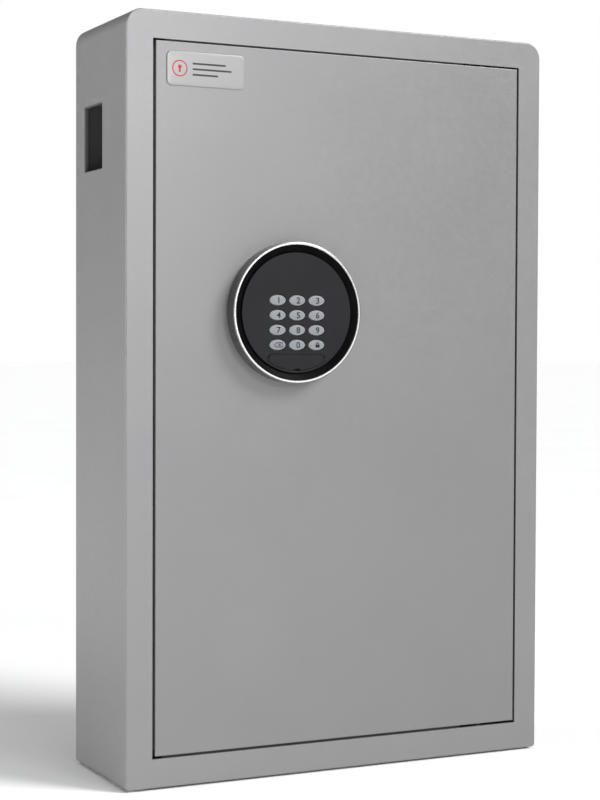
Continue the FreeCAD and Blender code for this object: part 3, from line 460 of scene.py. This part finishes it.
def lathe(name, profile, centre, body, finish, segments=160):
    """Turns (radius, y) points about the keypad's axis, centre giving x and z."""
    loops = []
    for radius, y in profile:
        loop = []
        for index in range(segments):
            angle = 2 * math.pi * index / segments
            loop.append((centre[0] + radius * math.cos(angle), y, centre[1] + radius * math.sin(angle)))
        loops.append(loop)
    return loft(name, loops, body, finish, closed=True)


def oval_loop(centre, half_wide, half_tall, y, segments=72):
    loop = []
    for index in range(segments):
        angle = 2 * math.pi * index / segments
        x = centre[0] + half_wide * math.cos(angle)
        loop.append((x, y, centre[1] + half_tall * math.sin(angle)))
    return loop


def rounded_loop(low, high, radius, y, steps=8):
    """A rounded rectangle facing the front, between two (x, z) corners."""
    corners = (
        ((high[0] - radius, high[1] - radius), 0),
        ((low[0] + radius, high[1] - radius), 90),
        ((low[0] + radius, low[1] + radius), 180),
        ((high[0] - radius, low[1] + radius), 270),
    )
    flat = []
    for centre, start in corners:
        flat += arc(centre, radius, start, start + 90, steps)
    return [(x, y, z) for x, z in flat]


def ribbon(points, width, y, depth, closed=False):
    """Vertices and faces of a flat stroke along (x, z) points, lying at y and this deep."""
    count = len(points)
    left, right = [], []
    for index, (x, z) in enumerate(points):
        before = points[index - 1] if index or closed else points[index]
        after = points[(index + 1) % count] if index + 1 < count or closed else points[index]
        along = Vector((after[0] - before[0], after[1] - before[1])).normalized()
        side = Vector((-along.y, along.x)) * width / 2
        left.append((x + side.x, z + side.y))
        right.append((x - side.x, z - side.y))
    vertices, faces = [], []
    for near in (y - depth, y):
        vertices += [(x, near, z) for x, z in left] + [(x, near, z) for x, z in right]
    spans = count if closed else count - 1
    for index in range(spans):
        a, b = index, (index + 1) % count
        c, d = b + count, a + count
        faces.append((a, b, c, d))
        faces.append(tuple(v + 2 * count for v in (d, c, b, a)))
        faces.append((a, b, b + 2 * count, a + 2 * count))
        faces.append((d, c, c + 2 * count, d + 2 * count))
    if not closed:
        for a in (0, count - 1):
            faces.append((a, a + count, a + 3 * count, a + 2 * count))
    return vertices, faces


def joined(strokes):
    """One list of vertices and faces from several."""
    vertices, faces = [], []
    for more_vertices, more_faces in strokes:
        start = len(vertices)
        vertices += more_vertices
        faces += [tuple(start + index for index in face) for face in more_faces]
    return vertices, faces


def lettering(text, centre, height, y, depth=INK_THICK, narrow=0.85):
    """Vertices and faces of a number that faces the front, centred on (x, z)."""
    curve = bpy.data.curves.new("number", "FONT")
    curve.body = text
    curve.extrude = depth / 2
    curve.offset = 0.013
    curve.resolution_u = 6
    holder = bpy.data.objects.new("number", curve)
    bpy.context.scene.collection.objects.link(holder)
    bpy.context.view_layer.update()
    mesh = bpy.data.meshes.new_from_object(holder)
    points = [v.co.copy() for v in mesh.vertices]
    faces = [tuple(p.vertices) for p in mesh.polygons]
    bpy.data.objects.remove(holder)
    bpy.data.curves.remove(curve)
    bpy.data.meshes.remove(mesh)
    low = Vector((min(p.x for p in points), min(p.y for p in points)))
    high = Vector((max(p.x for p in points), max(p.y for p in points)))
    scale = height / (high.y - low.y)
    middle = (low + high) / 2
    vertices = []
    for p in points:
        x = centre[0] + (p.x - middle.x) * scale * narrow
        vertices.append((x, y - p.z, centre[1] + (p.y - middle.y) * scale))
    return vertices, faces


def middle_of(node):
    low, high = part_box(node)
    return (low + high) / 2


# ---- CAD nodes: finishes and softened edges ----

def soften(node, width):
    """Rounds a CAD node's sharp edges by a modifier, leaving its own mesh alone."""
    thing = NODES[node]
    mesh = thing.data
    if "custom_normal" in mesh.attributes:
        mesh.attributes.remove(mesh.attributes["custom_normal"])
    for name in ("sharp_face", "sharp_edge"):
        if name in mesh.attributes:
            mesh.attributes.remove(mesh.attributes[name])
    mesh.shade_smooth()
    weld = thing.modifiers.new("weld", "WELD")
    weld.merge_threshold = 1e-6
    bevel = thing.modifiers.new("edge", "BEVEL")
    bevel.width = width
    bevel.segments = 3
    bevel.limit_method = "ANGLE"
    bevel.angle_limit = math.radians(40)
    bevel.harden_normals = True


def edges_of(width, *nodes):
    return {node: width * MM for node in nodes}


SOFT_EDGES = {
    **edges_of(0.25, "keypad_fascia", "keypad_cover"),
    **edges_of(0.4, "lock_case", "mechanism_plate", "motor_gearbox", "battery_box", "battery_lid"),
    **edges_of(0.6, "hinge_bracket_top", "hinge_bracket_bottom", "hinge_lug_top", "hinge_lug_bottom"),
    **edges_of(0.4, "lock_side_keeper", "door_stop_top", "door_stop_bottom", "deposit_chute"),
    **edges_of(0.8, "bolt_top", "bolt_middle", "bolt_bottom"),
}


def finish_nodes():
    """Each CAD node's material by its slot, then the softened edges."""
    for node, thing in NODES.items():
        material = FINISHES[SLOT_OF[node]].material
        if thing.data.materials:
            for index in range(len(thing.data.materials)):
                thing.data.materials[index] = material
        else:
            thing.data.materials.append(material)
    for node, width in SOFT_EDGES.items():
        soften(node, width)


# ---- the keypad ----

HUB = middle_of("keypad_housing")
HUB_XZ = (HUB.x, HUB.z)


RING_WALL = 2.6 * MM


def keypad_rings():
    """The housing, the bright rim and the sloping black ring, turned finer than the CAD's."""
    low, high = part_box("keypad_housing")
    outer = (high.x - low.x) / 2
    back, face = high.y, low.y
    rim_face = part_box("keypad_bezel")[0].y
    inner = outer - RING_WALL
    turn_housing(outer, inner, back, face)
    turn_rim(outer, inner, face, rim_face)
    turn_dish(inner)


def turn_housing(outer, inner, back, face):
    wire_hole = 8 * MM
    floor_thick = 2 * MM
    chamfer = 0.3 * MM
    profile = [
        (wire_hole, back), (outer - chamfer, back), (outer, back - chamfer), (outer, face),
        (inner, face), (inner, back - floor_thick), (wire_hole, back - floor_thick),
    ]
    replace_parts(lathe("keypad_housing_turned", profile, HUB_XZ, "door", "satin_housing"), "keypad_housing")


def turn_rim(outer, inner, face, rim_face):
    """A satin band on the outside of the rim and the bright rim inside it, with a rounded front."""
    lip = outer - 0.8 * MM
    rim_round = 0.35 * MM
    shoulder = rim_face + rim_round
    band = [(outer, face), (outer, shoulder + 0.3 * MM), (lip, shoulder), (lip, face)]
    lathe("keypad_band_turned", band, HUB_XZ, "door", "satin_housing")
    rim = [(lip, face), (lip, shoulder)]
    rim += arc((lip - rim_round, shoulder), rim_round, 0, -90, 5)[1:]
    rim += [(inner + rim_round, rim_face), (inner, shoulder + 0.2 * MM), (inner, face)]
    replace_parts(lathe("keypad_rim_turned", rim, HUB_XZ, "door", "chrome_trim"), "keypad_bezel")


def turn_dish(inner):
    """The ring slopes from the rim down to the seat of the fascia, which rests on its ledge."""
    low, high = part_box("keypad_dish")
    fascia_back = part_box("keypad_fascia")[1].y
    top = low.y
    seat = 58.25 * MM
    ledge = 56 * MM
    slope_end = top + 4.2 * MM
    lip_round = 0.25 * MM
    profile = [
        (inner, high.y), (inner, top + lip_round), (inner - lip_round, top),
        (inner - 0.8 * MM, top + 0.1 * MM), (seat + 0.6 * MM, slope_end - lip_round), (seat, slope_end),
        (seat, fascia_back), (ledge, fascia_back), (ledge, high.y),
    ]
    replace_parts(lathe("keypad_dish_turned", profile, HUB_XZ, "door", "black_plastic"), "keypad_dish")


def keypad_caps():
    """Each key cap: a crowned oval on its flange, with a number or a sign on it."""
    flange_extra = 1 * MM
    flange_thick = 1 * MM
    edge_round = 0.9 * MM
    dome = 0.22 * MM
    legend_aside = 1 * MM
    for node in [name for name in NODES if name.startswith("key_") and name != "key_mat"]:
        low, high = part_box(node)
        centre = ((low.x + high.x) / 2, (low.z + high.z) / 2)
        wide = (high.x - low.x) / 2 - flange_extra
        tall = (high.z - low.z) / 2 - flange_extra
        face = low.y
        crown = face + dome
        loops = [
            oval_loop(centre, wide + flange_extra, tall + flange_extra, high.y),
            oval_loop(centre, wide + flange_extra, tall + flange_extra, high.y - flange_thick),
            oval_loop(centre, wide, tall, high.y - flange_thick),
        ]
        for inset, y in arc((edge_round, crown + edge_round), edge_round, 180, 270, 6):
            loops.append(oval_loop(centre, wide - inset, tall - inset, y))
        for share in (0.8, 0.6, 0.4, 0.2):
            y = face + dome * share ** 2
            across = (wide - edge_round) * share
            up = (tall - edge_round) * share
            loops.append(oval_loop(centre, across, up, y))
        cap = loft(node + "_cap", loops, node, "key_plastic")
        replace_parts(cap, node)
        mark_centre = (centre[0] + legend_aside, centre[1])
        mark_key(node, mark_centre, face - 0.01 * MM)


def mark_key(node, centre, y):
    line = 0.75 * MM
    if node in DIGIT_KEYS:
        vertices, faces = lettering(DIGIT_KEYS[node], centre, 5.8 * MM, y, narrow=1.05)
    elif node == "key_clear":
        vertices, faces = joined(clear_sign(centre, y, line))
    else:
        vertices, faces = joined(lock_sign(centre, y, line))
    piece(node + "_legend", vertices, faces, node, DARK_INK)


def clear_sign(centre, y, line):
    """An arrow-ended box with a cross in it, the usual sign for clearing an entry."""
    x, z = centre
    left, right, up, tip = x - 2.4 * MM, x + 4.2 * MM, 2 * MM, x - 4.8 * MM
    box = [(right, z - up), (right, z + up), (left, z + up), (tip, z), (left, z - up)]
    middle, arm = x + 1 * MM, 0.95 * MM
    rising = [(middle - arm, z - arm), (middle + arm, z + arm)]
    falling = [(middle - arm, z + arm), (middle + arm, z - arm)]
    return [
        ribbon(box, line, y, INK_THICK, closed=True),
        ribbon(rising, line, y - INK_THICK, INK_THICK),
        ribbon(falling, line, y - 2 * INK_THICK, INK_THICK),
    ]


def lock_sign(centre, y, line):
    """A closed padlock."""
    x, z = centre
    half, low, high = 2.2 * MM, z - 2.4 * MM, z + 0.4 * MM
    bend = 1.3 * MM
    block = [(x - half, (low + high) / 2), (x + half, (low + high) / 2)]
    shackle = [(x - bend, high)] + arc((x, high + 0.6 * MM), bend, 180, 0, 12) + [(x + bend, high)]
    return [ribbon(block, high - low, y, INK_THICK), ribbon(shackle, line, y - INK_THICK, INK_THICK)]


# ---- the name plate ----

DOME_STEPS = ((0, 0), (0, 0.42), (0.15, 0.6), (0.45, 0.76), (1, 0.86), (2.2, 0.93), (3.6, 0.97))
PRINT_SHARE = 0.972
PRINT_THICK = 0.02 * MM


def name_plate():
    """A silver plate under a clear dome, with a keyhole sign and three plain lines in place of print."""
    low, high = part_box("name_plate")
    corner = 5 * MM
    back, crown = high.y, low.y
    thick = back - crown
    loops = []
    for inset, share in DOME_STEPS:
        gap = inset * MM
        edge_low, edge_high = (low.x + gap, low.z + gap), (high.x - gap, high.z - gap)
        loops.append(rounded_loop(edge_low, edge_high, max(corner - gap, 0.3 * MM), back - thick * share))
    plate = loft("name_plate_domed", loops, "door", "label_silver")
    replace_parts(plate, "name_plate")
    y = back - thick * PRINT_SHARE
    middle = (low.z + high.z) / 2
    keyhole_sign(low.x + 13 * MM, middle, y)
    plain_lines(low.x + 26 * MM, middle, y)


def keyhole_sign(x, z, y):
    hole_wide = 1.9 * MM
    ring = ribbon(arc((x, z), 7.2 * MM, 0, 354, 48), 1.1 * MM, y, PRINT_THICK, closed=True)
    eye_line = arc((x, z + 1.6 * MM), hole_wide / 2, 0, 340, 20)
    eye = ribbon(eye_line, hole_wide, y, PRINT_THICK, closed=True)
    foot = ribbon([(x, z + 1 * MM), (x, z - 3.6 * MM)], hole_wide, y - PRINT_THICK, PRINT_THICK)
    vertices, faces = joined([ring, eye, foot])
    piece("name_plate_keyhole", vertices, faces, "door", RED_INK)


def plain_lines(start, middle, y):
    row_pitch = 5.2 * MM
    bars = []
    for row, length in enumerate((34, 40, 26)):
        height = middle + (1 - row) * row_pitch
        line = [(start, height), (start + length * MM, height)]
        bars.append(ribbon(line, 1.7 * MM, y, PRINT_THICK))
    vertices, faces = joined(bars)
    piece("name_plate_lines", vertices, faces, "door", GREY_INK)


# ---- screws and other fittings ----

def hexagon_loop(centre, radius, y, segments):
    """A hexagon's outline with as many points as the circles round it."""
    loop = []
    for index in range(segments):
        angle = 2 * math.pi * index / segments
        reach = radius * math.cos(math.pi / 6) / math.cos(angle % (math.pi / 3) - math.pi / 6)
        loop.append((centre[0] + reach * math.cos(angle), y, centre[1] + reach * math.sin(angle)))
    return loop


def button_screw(name, centre, seat, towards, radius, body):
    """A domed socket screw: it sits on y = seat and its head rises towards -Y or +Y."""
    count = 36
    rise = radius * 0.6
    rim = 0.25
    last_angle = math.pi / 2 * 0.72
    loops = [oval_loop(centre, radius, radius, seat, count)]
    for share in (0, 0.3, 0.55, 0.75, 0.9, 1):
        across = radius * math.cos(share * last_angle)
        y = seat + towards * rise * (rim + (1 - rim) * math.sin(share * last_angle) / 0.905)
        loops.append(oval_loop(centre, across, across, y, count))
    top = loops[-1][0][1]
    socket = radius * 0.46
    socket_bottom = radius * 0.42
    loops.append(hexagon_loop(centre, socket, top, count))
    loops.append(hexagon_loop(centre, socket_bottom, top - towards * rise * 0.7, count))
    return loft(name, loops, body, "zinc_steel")


def case_screws():
    """Four screws hold the case over the lock parts."""
    low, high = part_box("lock_case")
    plate_low, plate_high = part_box("mechanism_plate")
    across = (plate_low.x + 12 * MM, plate_high.x - 5 * MM)
    up = (plate_low.z + 7 * MM, plate_high.z - 7 * MM)
    for column, x in enumerate(across):
        for row, z in enumerate(up):
            button_screw("case_screw_%d%d" % (column, row), (x, z), high.y, 1, 3.2 * MM, "door")


HOOK_BARS = ["hook_bar_%d" % row for row in range(1, 7)]
BAR_THICK = 1.5 * MM


def rack_screws():
    """Screws through the hook bars into the uprights."""
    for side in ("left", "right"):
        low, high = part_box("rack_upright_" + side)
        x = (low.x + high.x) / 2
        for row, bar in enumerate(HOOK_BARS, 1):
            bar_low, bar_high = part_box(bar)
            place = (x, (bar_low.z + bar_high.z) / 2 - 4 * MM)
            name = "rack_screw_%s_%d" % (side, row)
            button_screw(name, place, bar_high.y - BAR_THICK, -1, 2.6 * MM, "cabinet")


HOOKS_PER_BAR = 14
HOOK_MARGIN = 20 * MM


def hook_numbers():
    """A pale strip on each bar, with a number for each hook."""
    card = ink("number_strip_card", (0.36, 0.355, 0.335))
    half_tall = 3.4 * MM
    strip_margin = 12 * MM
    for row, bar in enumerate(HOOK_BARS):
        low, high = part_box(bar)
        face = high.y - BAR_THICK
        z = low.z + 5.2 * MM
        corner_low = (low.x + strip_margin, z - half_tall)
        corner_high = (high.x - strip_margin, z + half_tall)
        number_strip(row, corner_low, corner_high, face, card)
        step = (high.x - low.x - 2 * HOOK_MARGIN) / (HOOKS_PER_BAR - 1)
        numbers = []
        for index in range(HOOKS_PER_BAR):
            text = str(row * HOOKS_PER_BAR + index + 1)
            place = (low.x + HOOK_MARGIN + step * index, z)
            numbers.append(lettering(text, place, 3.6 * MM, face - 0.41 * MM, 0.02 * MM))
        vertices, faces = joined(numbers)
        piece("number_strip_%d_numbers" % (row + 1), vertices, faces, "cabinet", DARK_INK)


def number_strip(row, low, high, face, card):
    """A thin card between two (x, z) corners, with rounded corners and a chamfered edge."""
    corner = 1 * MM
    loops = []
    for gap, depth in ((0, 0), (0, 0.25 * MM), (0.15 * MM, 0.4 * MM)):
        near = (low[0] + gap, low[1] + gap)
        far = (high[0] - gap, high[1] - gap)
        loops.append(rounded_loop(near, far, corner - gap, face - depth, 4))
    loft("number_strip_%d" % (row + 1), loops, "cabinet", card)


def battery_lid_ribs():
    """Grip ribs across the lid."""
    low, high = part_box("battery_lid")
    x = (low.x + high.x) / 2
    half_wide = 9 * MM
    ribs = []
    for row in range(5):
        z = low.z + (8 + 2.6 * row) * MM
        ribs.append(ribbon([(x - half_wide, z), (x + half_wide, z)], 1.1 * MM, high.y + 0.5 * MM, 0.7 * MM))
    vertices, faces = joined(ribs)
    piece("battery_lid_ribs", vertices, faces, "battery_lid", "black_plastic")


make_camera()
finish_nodes()
keypad_rings()
keypad_caps()
name_plate()
case_screws()
rack_screws()
hook_numbers()
battery_lid_ribs()
make_studio()
make_floor()
